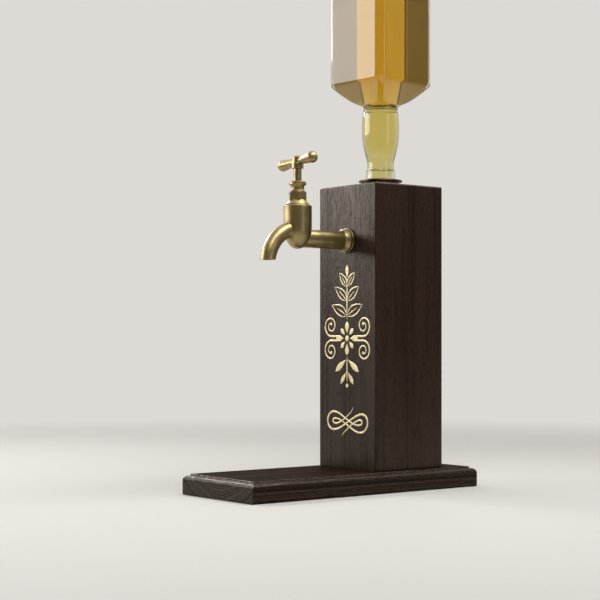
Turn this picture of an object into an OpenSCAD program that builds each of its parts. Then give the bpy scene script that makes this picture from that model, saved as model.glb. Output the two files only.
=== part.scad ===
// Countertop drink dispenser: a square wooden post on a moulded board, with a
// screw-down brass bib tap on its face and an inverted bottle standing in its top.
// The bottle feeds a lined well inside the post, and the tap draws from that well.
// Millimetres. The origin is the middle of the board's underside, the tap faces -Y.

/* [Base board] */
// Length of the board, front to back
base_len = 300; // [250:1:400]
// Width of the board
base_wid = 122; // [112:1:180]
// Thickness of the board
base_thk = 21.5; // [16:0.5:35]
// Drop of the small step round the top edge
edge_step = 1.8; // [0.6:0.1:4]
// Width of the ledge below that step
edge_ledge = 1; // [0.4:0.1:4]
// Radius of the quarter round below the ledge
edge_round = 5; // [2:0.5:8]
// Radius of the eased bottom edge
foot_round = 1.5; // [0.5:0.1:3]

/* [Post] */
// Side of the square post
post_side = 94; // [85:1:108]
// Height of the post above the board
post_h = 301; // [260:1:400]
// Length of board left showing behind the post
post_back = 38; // [20:0.5:60]
// Radius of the eased edges of the post
post_arris = 1.8; // [0.5:0.1:6]

/* [Post screws] */
// Distance between neighbouring screws, on a square
screw_pitch = 60; // [40:1:70]
// Diameter of the screw shank
screw_d = 5; // [4:0.5:6]
// Diameter of the countersunk head
screw_head_d = 9.6; // [8:0.2:12]
// Length of a screw over all
screw_len = 60; // [40:1:90]
// Depth of the heads below the board's underside
screw_sunk = 1; // [0.2:0.1:2]

/* [Reservoir cup] */
// Outside diameter of the cup
cup_od = 45.6; // [44:0.2:52]
// Inside diameter of the cup
cup_bore = 33; // [32:0.5:36]
// Thickness of the cup's floor
cup_floor = 6; // [3:0.5:8]
// Depth of the cup's underside below the tap's pipe
cup_sump = 23.5; // [22:0.5:40]

/* [Bottle seat] */
// Diameter of the foot on the post's top
seat_foot_d = 52; // [50:0.5:64]
// Thickness of the foot
seat_foot_thk = 2.2; // [1.6:0.1:2.6]
// Diameter of the waist under the flange
seat_waist_d = 40; // [38:0.5:42]
// Diameter of the flange under the bottle
seat_flange_d = 47; // [46:0.5:60]
// Thickness of the flange
seat_flange_thk = 1.8; // [1.4:0.1:2.2]
// Height of the flange's top above the post
seat_rise = 7.7; // [7.2:0.1:14]
// Length of the spigot that enters the cup
seat_spigot = 8; // [4:0.5:14]
// Diameter of the air hole through the waist
vent_d = 2.4; // [1:0.1:3]

/* [Seat gasket] */
// Outside diameter of the gasket
gasket_od = 35.8; // [34:0.1:38]
// Thickness of the gasket
gasket_thk = 1.9; // [1.2:0.1:2.4]
// Height of the gasket's top above the flange
gasket_proud = 0.9; // [0.3:0.1:1.1]

/* [Bottle] */
// Diameter of the finish below the bead
finish_od = 28.4; // [26:0.1:28.8]
// Bore of the finish and the narrow neck
finish_bore = 19; // [16:0.5:21]
// Length of the finish below the bead
finish_len = 19.1; // [14:0.1:24]
// Diameter of the bead that the bottle stands on
bead_od = 31.8; // [31:0.1:34]
// Height of the bead
bead_h = 10.2; // [6:0.1:14]
// Diameter of the narrow neck above the bead
neck_od = 29; // [26:0.1:30]
// Diameter of the neck where it swells most
bulge_od = 40.5; // [38:0.1:46]
// Height of that place above the bead's underside
bulge_rise = 55.9; // [52:0.1:62]
// Radius of the swelling's outline
bulge_sweep = 113; // [100:1:130]
// Radius that leads the narrow neck into the swelling
neck_fillet = 25; // [10:1:40]
// Height of the shoulder's start above the bead's underside
shoulder_rise = 76.5; // [72:0.5:84]
// Height of the sloping shoulder
shoulder_h = 24.5; // [14:0.5:30]
// Width of the square shoulder where it leaves the neck
shoulder_side = 31; // [29:0.5:34]
// Width of the square body
body_side = 81.5; // [74:0.5:92]
// Length of the body above the shoulder
body_h = 120.5; // [90:0.5:150]
// Radius of the body's upright edges
body_corner = 10; // [6:0.5:14]
// Radius of the heel round the bottle's bottom
heel_r = 8; // [4:0.5:12]
// Thickness of the glass walls
glass_wall = 3.4; // [2.4:0.1:4.5]
// Thickness of the bottle's bottom
glass_bottom = 6; // [4:0.5:10]
// Turn of the bottle in its round seat, in degrees
bottle_turn = 4; // [-45:1:45]

/* [Tap body] */
// Height of the post's top above the tap's pipe
pipe_drop = 59; // [50:0.5:90]
// Distance from the post's face to the barrel's axis
tap_reach = 66.3; // [50:0.1:90]
// Outside diameter of the pipe
pipe_od = 19; // [16:0.1:20]
// Bore of the pipe and its tail
pipe_bore = 10; // [7:0.5:11]
// Outside diameter of the tail, that of a half-inch pipe thread
tail_od = 20.9; // [20:0.1:22]
// Outside diameter of the barrel
barrel_od = 29.5; // [27:0.1:34]
// Height of the barrel's top above the pipe's axis
barrel_rise = 34; // [32:0.1:42]
// Bevel round the barrel's top
barrel_bevel = 1; // [0.4:0.1:1.2]
// Height above the pipe's axis where the barrel starts to draw in
belly_rise = 10.5; // [8:0.1:13]
// Radius of the barrel's round bottom
dome_r = 10.75; // [9:0.05:12]
// Depth of that bottom below the pipe's axis
dome_drop = 11.2; // [10:0.1:13]
// Bore of the chamber in the barrel
chamber_d = 20; // [18:0.1:21]

/* [Spout] */
// Outside diameter of the spout
spout_od = 16; // [14:0.1:18]
// Bore of the spout
spout_bore = 10; // [7:0.5:11]
// Bend radius of the spout's axis
spout_bend = 38.5; // [34:0.1:48]
// Height of the spout's highest point on its axis above the pipe's axis
spout_rise = 10; // [9:0.1:12]
// Depth of the spout's lip below the pipe's axis
spout_drop = 23.6; // [18:0.1:26]

/* [Wall fittings] */
// Diameter of the shoulder at the end of the pipe
shoulder_d = 24.8; // [23:0.1:26]
// Thickness of that shoulder
shoulder_thk = 1.8; // [1:0.1:3]
// Radius that flares the pipe into the shoulder
flare_r = 6; // [3:0.1:8]
// Diameter of the loose flange against the post
wall_flange_d = 26.4; // [25:0.1:40]
// Thickness of that flange
wall_flange_thk = 2.4; // [1.5:0.1:4]
// Diameter of the washer between flange and shoulder
wall_washer_d = 24; // [23:0.1:26]
// Thickness of that washer
wall_washer_thk = 0.8; // [0.5:0.1:2]
// Thickness of the seal ring in the tail's groove
seal_thk = 1.8; // [1.2:0.1:2.2]

/* [Valve] */
// Height of the valve seat above the pipe's axis
valve_rise = 6.9; // [6:0.1:8]
// Bore through the valve seat
valve_bore = 11; // [9.5:0.1:11.5]
// Outside diameter of the raised seat ring
valve_ring_d = 14; // [12.5:0.1:14.6]
// Height of the raised seat ring
valve_ring_h = 1.5; // [0.8:0.1:2]
// Thickness of the web between the pipe's bore and the chamber
valve_web = 1.5; // [1:0.1:2]
// Diameter of the tap washer
washer_d = 15; // [14.7:0.1:17]
// Thickness of the tap washer
washer_thk = 4; // [3:0.1:5]
// Diameter of the jumper's plate
jumper_d = 16; // [15:0.1:17.4]
// Thickness of the jumper's plate
jumper_thk = 2.5; // [1.5:0.1:3]
// Diameter of the jumper's stem
stem_d = 5.4; // [4.8:0.1:5.8]
// Length of the jumper's stem
stem_len = 14; // [10:0.5:18]
// Diameter of the stud through the washer
stud_d = 4; // [3:0.1:4.4]
// Size of the washer nut across its flats
nut_af = 7; // [6:0.1:7.6]
// Height of the washer nut
nut_h = 2.4; // [1.6:0.1:3]
// Diameter of the pin that keeps the jumper in the spindle
keeper_d = 1.8; // [1.2:0.1:2]
// Lift of the valve when the tap is fully open
valve_lift = 3; // [1:0.1:4]

/* [Spindle] */
// Diameter of the spindle's shank
spindle_d = 8.4; // [7.6:0.1:8.6]
// Diameter of the spindle's thick screwed part
screw_part_d = 12; // [11:0.1:12.6]
// Length of that part
screw_part_len = 24.5; // [22:0.1:26]
// Side of the square that carries the handle
square_side = 5.8; // [4.8:0.1:5.9]
// Length of that square
square_len = 8.7; // [6:0.1:10]
// Length of bare spindle between gland nut and handle
spindle_show = 13.3; // [8:0.1:20]

/* [Bonnet] */
// Thickness of the washer under the bonnet
bonnet_washer_thk = 0.8; // [0.5:0.1:2]
// Diameter of the bonnet's flange
bonnet_d = 24.8; // [24:0.1:27]
// Height of the cone above that flange
bonnet_cone_h = 4.6; // [3:0.1:8]
// Size of the bonnet's hexagon across its flats
hex_af = 17.2; // [16:0.1:19]
// Height of the hexagon
hex_h = 10.4; // [8:0.1:16]
// Height of the round neck above the hexagon
bonnet_neck_h = 2.7; // [1.5:0.1:4]
// Diameter of the round neck
bonnet_neck_d = 14; // [13.8:0.1:16]
// Length of the bonnet's spigot in the barrel
bonnet_spigot = 14.5; // [8:0.5:15]

/* [Gland] */
// Bore of the box that holds the packing
box_d = 11.9; // [11:0.1:12.2]
// Depth of that box
box_depth = 7; // [5:0.1:9]
// Height of the packing
packing_h = 3.8; // [2:0.1:4.5]
// Diameter of the gland nut's rim
gland_d = 18.2; // [16:0.1:22]
// Height of the gland nut's rim
gland_rim_h = 4; // [2:0.1:6]
// Height of the waist under that rim
gland_waist_h = 2; // [1.5:0.1:5]
// Diameter of that waist
gland_waist_d = 13.2; // [13:0.1:14]

/* [Handle] */
// Diameter of the hub
hub_d = 11.4; // [10.6:0.1:14]
// Diameter of the skirt at the hub's foot
skirt_d = 12.6; // [12:0.1:16]
// Height of the skirt
skirt_h = 5.7; // [3:0.1:6.5]
// Height of the hub to the top of its dome
hub_h = 13.6; // [12:0.1:18]
// Radius of the hub's domed top
hub_dome_r = 9; // [7.2:0.1:20]
// Height of the crossbar's axis above the hub's foot
bar_rise = 7.4; // [6:0.1:9]
// Distance from the hub's axis to the centre of each round end
bar_reach = 24.3; // [18:0.1:34]
// Radius of the crossbar's round ends
knob_r = 6; // [5:0.1:7.4]
// Radius of the crossbar's arms at the hub's axis
arm_r = 3; // [2:0.1:4.4]
// Lean of the crossbar
bar_tilt = 5.5; // [0:0.5:8]
// Diameter of the grub screw that holds the handle
grub_d = 3; // [2:0.1:4]
// Height of the grub screw above the hub's foot
grub_rise = 3; // [2.2:0.1:4]

/* [Clearances] */
// Radial clearance of a turning fit
run_fit = 0.08; // [0.02:0.01:0.1]
// Radial clearance between fixed pieces that plug together
plug_fit = 0.1; // [0.05:0.01:0.2]
// Clearance of the lined well round the cup
well_fit = 0.2; // [0.1:0.05:0.5]
// Clearance round the bottle's finish in its seat
bottle_fit = 0.4; // [0.3:0.05:0.6]
// Clearance between end faces that stay apart
end_gap = 0.3; // [0.2:0.05:0.6]

/* [Hidden] */
$fn = 96;

// A cut reaches this far past the face that it opens
over = 1;
// Radius that eases the edges of turned metal
turned_ease = 0.6;
// Radius that softens the edges of moulded glass
glass_ease = 0.8;

// Places of the post and its well
post_y = base_len / 2 - post_back - post_side / 2;
face_y = post_y - post_side / 2;
post_top = base_thk + post_h;
pipe_z = post_top - pipe_drop;
well_d = cup_od + 2 * well_fit;
cup_low = pipe_z - cup_sump;
cup_top = post_top - end_gap;

// Places of the bottle and its seat
seat_bore = finish_od + 2 * bottle_fit;
spigot_d = cup_bore - 2 * plug_fit;
gasket_low = seat_rise + gasket_proud - gasket_thk;
bottle_z = post_top + seat_rise + gasket_proud;
bottle_h = shoulder_rise + shoulder_h + body_h;

// The swelling's circle, and the fillet that touches both it and the narrow neck
bulge_x = bulge_od / 2 - bulge_sweep;
fillet_x = neck_od / 2 + neck_fillet;
fillet_fall = sqrt(pow(bulge_sweep + neck_fillet, 2) - pow(fillet_x - bulge_x, 2));
fillet_z = bulge_rise - fillet_fall;
touch_share = bulge_sweep / (bulge_sweep + neck_fillet);
touch_x = bulge_x + (fillet_x - bulge_x) * touch_share;
touch_z = bulge_rise - fillet_fall * touch_share;

// The tap stands on its barrel's axis
barrel_y = face_y - tap_reach;
barrel_r = barrel_od / 2;
dome_z = dome_r - dome_drop;
belly_span = belly_rise - dome_z;
belly_r = (barrel_r * barrel_r + belly_span * belly_span - dome_r * dome_r) / (2 * (barrel_r - dome_r));
belly_x = barrel_r - belly_r;
belly_share = belly_r / (belly_r - dome_r);
belly_touch = belly_rise - belly_span * belly_share;

// Wall fittings, measured outwards from the post's face
shoulder_back = wall_flange_thk + wall_washer_thk;
shoulder_front = shoulder_back + shoulder_thk;
flare_len = sqrt(flare_r * flare_r - pow(flare_r - (shoulder_d - pipe_od) / 2, 2));
tail_bore_d = tail_od + 2 * plug_fit;

// The tail ends inside the cup's wall, and its seal lies where that wall is whole
cup_face_y = post_y - cup_bore / 2;
tail_end_y = cup_face_y - end_gap;
wall_whole_y = post_y - sqrt(pow(cup_od / 2, 2) - pow(tail_od / 2, 2));
seal_y = (wall_whole_y + tail_end_y) / 2;
groove_len = seal_thk + 2 * plug_fit;
groove_d = tail_od - 2 * (seal_thk - plug_fit / 2);

// Levels of the valve, from the inlet upwards
inlet_rise = valve_rise - valve_ring_h - valve_web - pipe_bore / 2;
valve_z = pipe_z + valve_rise;
plate_low = valve_z + washer_thk;
plate_top = plate_low + jumper_thk;
spindle_low = plate_top + run_fit;
barrel_top = pipe_z + barrel_rise;
bonnet_z = barrel_top + bonnet_washer_thk;
cone_top = bonnet_z + bonnet_cone_h;
hex_top = cone_top + hex_h;
bonnet_top = hex_top + bonnet_neck_h;
box_low = bonnet_top - box_depth;
screw_part_top = spindle_low + screw_part_len;
stop_z = screw_part_top + valve_lift + end_gap;
rim_low = bonnet_top + gland_waist_h;
gland_top = rim_low + gland_rim_h;
spindle_shoulder = gland_top + spindle_show;
shank_bore = spindle_d + 2 * run_fit;
screw_bore = screw_part_d + 2 * run_fit;
stem_bore = stem_d + 2 * run_fit;

// The keeper pin crosses the spindle beside the stem and lies in the stem's groove
keeper_groove_d = stem_d - keeper_d;
keeper_groove_h = keeper_d + 2 * run_fit;
keeper_x = keeper_groove_d / 2 + run_fit + keeper_d / 2;
keeper_z = plate_top + stem_len * 0.6;
keeper_len = 2 * sqrt(pow(screw_part_d / 2 - run_fit, 2) - pow(keeper_x + keeper_d / 2, 2));

// The crossbar's arms are cones that touch its round ends
arm_slope = asin((knob_r - arm_r * cos(atan((knob_r - arm_r) / bar_reach))) / bar_reach);
arm_end = bar_reach - knob_r * sin(arm_slope);
arm_end_r = knob_r * cos(arm_slope);

wood_stain = "#3b2a21";
brass_satin = "#a8935a";
steel_turned = "#b9b7b0";
rubber_black = "#242322";

// Rectangle with rounded corners, between two opposite corners
module eased_rect(low, high, ease) {
    size = high - low;
    translate([low.x + ease, low.y])
        square([size.x - 2 * ease, size.y]);
    translate([low.x, low.y + ease])
        square([size.x, size.y - 2 * ease]);
    for (x = [low.x + ease, high.x - ease])
        for (y = [low.y + ease, high.y - ease])
            translate([x, y])
                circle(r = ease);
}

// Upright section extruded along X, centred on the origin
module along_x(length) {
    rotate([90, 0, 90])
        linear_extrude(length, center = true)
            children();
}

// Upright section extruded along Y, centred on the origin
module along_y(length) {
    rotate([90, 0, 0])
        linear_extrude(length, center = true)
            children();
}

// Places its children on the pipe's axis at the post's face, with +Z pointing out of the post
module on_pipe() {
    translate([0, face_y, pipe_z])
        rotate([90, 0, 0])
            children();
}

// Places its children on the barrel's axis at a height
module on_barrel(height) {
    translate([0, barrel_y, height])
        children();
}

// Places its children on the post's axis at a height
module on_post(height) {
    translate([0, post_y, height])
        children();
}

// Flat ring with square edges
module plain_ring(outer, inner, height) {
    difference() {
        cylinder(d = outer, h = height);
        translate([0, 0, -over])
            cylinder(d = inner, h = height + 2 * over);
    }
}

// Section across the board: flat top, step, ledge, quarter round and eased bottom edge
module board_section(width) {
    half = width / 2;
    round_z = base_thk - edge_step - edge_round;
    top_half = half - edge_round - edge_ledge;
    ledge_half = half - edge_round;
    foot_half = half - foot_round;
    translate([-top_half, foot_round])
        square([2 * top_half, base_thk - foot_round]);
    translate([-ledge_half, foot_round])
        square([2 * ledge_half, base_thk - edge_step - foot_round]);
    translate([-half, foot_round])
        square([width, round_z - foot_round]);
    translate([-foot_half, 0])
        square([2 * foot_half, base_thk / 2]);
    for (side = [-1, 1]) {
        translate([side * ledge_half, round_z])
            circle(r = edge_round);
        translate([side * foot_half, foot_round])
            circle(r = foot_round);
    }
}

// Repeats its children at the four post screws
module at_screws() {
    for (x = [-1, 1])
        for (y = [-1, 1])
            translate([x * screw_pitch / 2, post_y + y * screw_pitch / 2, screw_sunk])
                children();
}

// Outline of a wood screw, from its head upwards, grown by a clearance
module screw_outline(grow) {
    head_h = (screw_head_d - screw_d) / 2;
    point_h = screw_d;
    rotate_extrude()
        polygon([
            [0, 0],
            [screw_head_d / 2 + grow, 0],
            [screw_d / 2 + grow, head_h],
            [screw_d / 2 + grow, screw_len - point_h],
            [0, screw_len + grow],
        ]);
}

module base_board() {
    color(wood_stain)
        difference() {
            intersection() {
                along_y(base_len)
                    board_section(base_wid);
                along_x(base_wid)
                    board_section(base_len);
            }
            at_screws() {
                screw_outline(plug_fit);
                translate([0, 0, -screw_sunk - over])
                    cylinder(d = screw_head_d + 2 * plug_fit, h = screw_sunk + over);
            }
        }
}

module post() {
    half = post_side / 2;
    low = [-half, -2 * post_arris];
    high = [half, post_h];
    color(wood_stain)
        difference() {
            on_post(base_thk)
                intersection() {
                    linear_extrude(post_h)
                        eased_rect([-half, -half], [half, half], post_arris);
                    along_x(post_side)
                        eased_rect(low, high, post_arris);
                    along_y(post_side)
                        eased_rect(low, high, post_arris);
                }
            on_post(cup_low)
                cylinder(d = well_d, h = post_h);
            on_pipe()
                translate([0, 0, -post_side / 2])
                    cylinder(d = tail_bore_d, h = post_side / 2 + over);
            at_screws()
                screw_outline(plug_fit);
        }
}

module base_screws() {
    slot_len = screw_head_d * 0.55;
    slot_wid = 1.1;
    slot_deep = 1.8;
    color(steel_turned)
        at_screws()
            difference() {
                screw_outline(0);
                for (turn = [0, 90])
                    rotate(turn)
                        cube([slot_len, slot_wid, 2 * slot_deep], center = true);
            }
}

module reservoir_cup() {
    color("#d9d6cc")
        difference() {
            on_post(cup_low)
                cylinder(d = cup_od, h = cup_top - cup_low);
            on_post(cup_low + cup_floor)
                cylinder(d = cup_bore, h = post_h);
            on_pipe()
                translate([0, 0, -post_side / 2])
                    cylinder(d = tail_bore_d, h = post_side / 2);
        }
}

// The seat is a turned spool: foot, hollow waist and flange, with a spigot below
module bottle_seat() {
    flange_low = seat_rise - seat_flange_thk;
    hollow_r = (flange_low - seat_foot_thk) / 2;
    hollow_z = (flange_low + seat_foot_thk) / 2;
    color(steel_turned)
        on_post(post_top)
            difference() {
                rotate_extrude()
                    difference() {
                        union() {
                            translate([0, -seat_spigot])
                                square([spigot_d / 2, seat_spigot + over]);
                            eased_rect([0, 0], [seat_foot_d / 2, seat_foot_thk], turned_ease);
                            difference() {
                                square([seat_waist_d / 2 + hollow_r, seat_rise - turned_ease]);
                                translate([seat_waist_d / 2 + hollow_r, hollow_z])
                                    circle(r = hollow_r);
                            }
                            eased_rect([0, flange_low], [seat_flange_d / 2, seat_rise], turned_ease);
                        }
                        translate([-over, -seat_spigot - over])
                            square([seat_bore / 2 + over, seat_spigot + seat_rise + 2 * over]);
                        translate([-over, gasket_low])
                            square([gasket_od / 2 + plug_fit + over, seat_rise]);
                    }
                translate([0, 0, hollow_z])
                    rotate([-90, 0, 0])
                        cylinder(d = vent_d, h = seat_waist_d);
            }
}

module seat_gasket() {
    color(rubber_black)
        on_post(post_top + gasket_low)
            plain_ring(gasket_od, seat_bore, gasket_thk);
}

// Half outline of the bottle's round neck, from the mouth to the shoulder
module neck_outline() {
    groove_r = 0.9;
    groove_z = shoulder_rise - 3 * groove_r;
    groove_x = bulge_x + sqrt(bulge_sweep * bulge_sweep - pow(groove_z - bulge_rise, 2));
    eased_rect([0, -finish_len], [finish_od / 2, bead_h], glass_ease);
    eased_rect([0, 0], [bead_od / 2, bead_h], glass_ease);
    square([neck_od / 2, fillet_z]);
    difference() {
        polygon([[0, fillet_z], [fillet_x, fillet_z], [touch_x, touch_z], [0, touch_z]]);
        translate([fillet_x, fillet_z])
            circle(r = neck_fillet);
    }
    difference() {
        intersection() {
            translate([bulge_x, bulge_rise])
                circle(r = bulge_sweep);
            translate([0, touch_z])
                square([bulge_od, shoulder_rise + shoulder_h / 4 - touch_z]);
        }
        translate([groove_x, groove_z])
            circle(r = groove_r);
    }
}

// Half outline of the hollow in the bottle's neck
module neck_hollow() {
    inner_sweep = bulge_sweep - glass_wall;
    hollow_z = bulge_rise - sqrt(inner_sweep * inner_sweep - pow(finish_bore / 2 - bulge_x, 2));
    translate([0, -finish_len - over])
        square([finish_bore / 2, finish_len + hollow_z + 2 * over]);
    intersection() {
        translate([bulge_x, bulge_rise])
            circle(r = inner_sweep);
        translate([0, hollow_z])
            square([bulge_od, shoulder_rise + shoulder_h / 2 - hollow_z]);
    }
}

// Square body with its sloping shoulder, drawn in on every side by a wall
module body_form(wall, bottom) {
    half = body_side / 2 - wall;
    slope_x = (body_side - shoulder_side) / 2;
    slope = sqrt(slope_x * slope_x + shoulder_h * shoulder_h);
    neck_half = shoulder_side / 2 - wall * (slope - slope_x) / shoulder_h;
    low = shoulder_rise + wall;
    wide = low + (half - neck_half) * shoulder_h / slope_x;
    high = bottle_h - bottom;
    corner = body_corner - wall;
    heel = heel_r - wall;
    intersection() {
        translate([0, 0, low])
            linear_extrude(high - low)
                eased_rect([-half, -half], [half, half], corner);
        along_x(body_side)
            body_side_view(half, neck_half, low, wide, high, heel);
        along_y(body_side)
            body_side_view(half, neck_half, low, wide, high, heel);
    }
}

// Side view of the bottle's shoulder, body and rounded heel
module body_side_view(half, neck_half, low, wide, high, heel) {
    polygon([[-neck_half, low], [neck_half, low], [half, wide], [-half, wide]]);
    translate([-half, wide])
        square([2 * half, high - heel - wide]);
    translate([heel - half, high - 2 * heel])
        square([2 * (half - heel), 2 * heel]);
    for (side = [-1, 1])
        translate([side * (half - heel), high - heel])
            circle(r = heel);
}

module bottle() {
    color("#c98a2b", 0.55)
        on_post(bottle_z)
            rotate(bottle_turn)
                difference() {
                    union() {
                        rotate_extrude()
                            neck_outline();
                        body_form(0, 0);
                    }
                    rotate_extrude()
                        neck_hollow();
                    body_form(glass_wall, glass_bottom);
                }
}

// Half outline of the barrel, with its belly drawn in to a round bottom
module barrel_outline() {
    translate([0, belly_rise])
        square([barrel_r, barrel_rise - barrel_bevel - belly_rise]);
    translate([0, belly_rise])
        polygon([
            [0, 0],
            [barrel_r, barrel_rise - barrel_bevel - belly_rise],
            [barrel_r - barrel_bevel, barrel_rise - belly_rise],
            [0, barrel_rise - belly_rise],
        ]);
    intersection() {
        translate([belly_x, belly_rise])
            circle(r = belly_r);
        translate([0, belly_touch])
            square([barrel_r, belly_rise + over - belly_touch]);
    }
    intersection() {
        translate([0, dome_z])
            circle(r = dome_r);
        translate([0, -dome_drop - over])
            square([dome_r, dome_drop + over]);
    }
}

// Half outline of the hollow in the barrel: inlet well, valve seat and chamber
module barrel_hollow() {
    ring_low = valve_rise - valve_ring_h;
    translate([0, inlet_rise])
        square([valve_bore / 2, barrel_rise - inlet_rise]);
    intersection() {
        translate([0, inlet_rise])
            circle(d = valve_bore);
        translate([0, inlet_rise - valve_bore])
            square([valve_bore, valve_bore + over]);
    }
    translate([0, valve_rise])
        square([chamber_d / 2, barrel_rise + over - valve_rise]);
    translate([valve_ring_d / 2, ring_low])
        square([(chamber_d - valve_ring_d) / 2, valve_ring_h + over]);
}

// Half outline of the pipe's end: the flare, the shoulder and the tail behind it
module pipe_end_outline() {
    difference() {
        translate([0, shoulder_front])
            square([shoulder_d / 2, flare_len]);
        translate([pipe_od / 2 + flare_r, shoulder_front + flare_len])
            circle(r = flare_r);
    }
    eased_rect([0, shoulder_back], [shoulder_d / 2, shoulder_front], turned_ease);
    difference() {
        translate([0, face_y - tail_end_y])
            square([tail_od / 2, shoulder_front + tail_end_y - face_y]);
        translate([groove_d / 2, face_y - seal_y - groove_len / 2])
            square([tail_od, groove_len]);
    }
}

// Quarter bend on the spout's axis, from the barrel outwards
module spout_bend_form(diameter, start) {
    on_barrel(pipe_z + spout_rise - spout_bend)
        rotate([0, -90, 180])
            rotate(start)
                rotate_extrude(angle = 90 - start)
                    translate([spout_bend, 0])
                        circle(d = diameter);
}

module tap_body() {
    bore_start = asin((valve_ring_d / 2 + end_gap) / spout_bend);
    color(brass_satin)
        difference() {
            union() {
                on_barrel(pipe_z)
                    rotate_extrude()
                        barrel_outline();
                on_pipe() {
                    cylinder(d = pipe_od, h = tap_reach);
                    rotate_extrude()
                        pipe_end_outline();
                }
                spout_bend_form(spout_od, 0);
            }
            on_barrel(pipe_z)
                rotate_extrude()
                    barrel_hollow();
            on_pipe()
                translate([0, inlet_rise, face_y - tail_end_y - over])
                    cylinder(d = pipe_bore, h = tap_reach + tail_end_y - face_y + over);
            spout_bend_form(spout_bore, bore_start);
            on_barrel(pipe_z - spout_drop - spout_bend)
                cube([2 * spout_bend, 4 * spout_bend, 2 * spout_bend], center = true);
        }
}

module port_seal() {
    color(rubber_black)
        on_pipe()
            translate([0, 0, face_y - seal_y])
                rotate_extrude()
                    translate([(groove_d + seal_thk) / 2 + plug_fit / 4, 0])
                        circle(d = seal_thk);
}

module wall_flange() {
    color(brass_satin)
        on_pipe()
            rotate_extrude()
                difference() {
                    eased_rect([0, 0], [wall_flange_d / 2, wall_flange_thk], turned_ease);
                    translate([-over, -over])
                        square([tail_bore_d / 2 + over, wall_flange_thk + 2 * over]);
                }
}

module wall_washer() {
    color(rubber_black)
        on_pipe()
            translate([0, 0, wall_flange_thk])
                plain_ring(wall_washer_d, tail_bore_d, wall_washer_thk);
}

// The bonnet screws into the barrel: spigot, flange, cone, hexagon and round neck
module bonnet() {
    hex_d = hex_af / cos(30);
    chamfer_h = (hex_d - bonnet_neck_d) / 2;
    spigot_r = chamber_d / 2 - plug_fit;
    color(brass_satin)
        difference() {
            union() {
                on_barrel(bonnet_z - bonnet_spigot)
                    cylinder(r = spigot_r, h = bonnet_spigot + over);
                on_barrel(bonnet_z)
                    cylinder(d1 = bonnet_d, d2 = hex_af, h = bonnet_cone_h);
                intersection() {
                    on_barrel(bonnet_z + turned_ease)
                        rotate(30)
                            cylinder(d = hex_d, h = hex_top - bonnet_z - turned_ease, $fn = 6);
                    on_barrel(bonnet_z)
                        rotate_extrude()
                            polygon([
                                [0, 0],
                                [hex_d / 2, 0],
                                [hex_d / 2, hex_top - bonnet_z - chamfer_h],
                                [bonnet_neck_d / 2, hex_top - bonnet_z],
                                [0, hex_top - bonnet_z],
                            ]);
                }
                on_barrel(cone_top)
                    cylinder(d = bonnet_neck_d, h = bonnet_top - cone_top);
            }
            on_barrel(bonnet_z - bonnet_spigot - over)
                cylinder(d = screw_bore, h = stop_z - bonnet_z + bonnet_spigot + over);
            on_barrel(bonnet_z)
                cylinder(d = shank_bore, h = bonnet_top - bonnet_z + over);
            on_barrel(box_low)
                cylinder(d = box_d, h = box_depth + over);
        }
}

module bonnet_washer() {
    color("#5a3b26")
        on_barrel(barrel_top)
            plain_ring(bonnet_d, chamber_d, bonnet_washer_thk);
}

module gland_packing() {
    color("#cfc4a4")
        on_barrel(box_low)
            plain_ring(box_d - 2 * plug_fit, shank_bore, packing_h);
}

// The gland nut presses the packing with its spigot and shows as a round rim
module gland_nut() {
    hollow_r = gland_waist_h;
    rim_r = gland_d / 2;
    spigot = box_depth - packing_h;
    bevel = gland_rim_h / 4;
    color(brass_satin)
        on_barrel(bonnet_top)
            rotate_extrude()
                difference() {
                    union() {
                        translate([0, -spigot])
                            square([box_d / 2 - plug_fit, spigot + over]);
                        difference() {
                            square([gland_waist_d / 2 + hollow_r, gland_waist_h]);
                            translate([gland_waist_d / 2 + hollow_r, 0])
                                circle(r = hollow_r);
                        }
                        polygon([
                            [0, gland_waist_h],
                            [rim_r - bevel / 2, gland_waist_h],
                            [rim_r, gland_waist_h + bevel],
                            [rim_r, gland_waist_h + gland_rim_h - bevel],
                            [rim_r - bevel, gland_waist_h + gland_rim_h],
                            [0, gland_waist_h + gland_rim_h],
                        ]);
                    }
                    translate([-over, -spigot - over])
                        square([shank_bore / 2 + over, gland_top - bonnet_top + spigot + 2 * over]);
                }
}

// The jumper's stem turns freely in the spindle, and its groove takes the keeper pin
module jumper() {
    color(brass_satin)
        difference() {
            union() {
                on_barrel(plate_low)
                    cylinder(d = jumper_d, h = jumper_thk);
                on_barrel(valve_z - nut_h)
                    cylinder(d = stud_d, h = nut_h + washer_thk + over);
                on_barrel(plate_low)
                    cylinder(d = stem_d, h = jumper_thk + stem_len);
            }
            on_barrel(keeper_z - keeper_groove_h / 2)
                plain_ring(2 * stem_d, keeper_groove_d, keeper_groove_h);
        }
}

module tap_washer() {
    color(rubber_black)
        on_barrel(valve_z)
            plain_ring(washer_d, stud_d + 2 * plug_fit, washer_thk);
}

module washer_nut() {
    color(brass_satin)
        on_barrel(valve_z - nut_h)
            difference() {
                cylinder(d = nut_af / cos(30), h = nut_h, $fn = 6);
                translate([0, 0, -over])
                    cylinder(d = stud_d + 2 * plug_fit, h = nut_h + 2 * over);
            }
}

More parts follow.
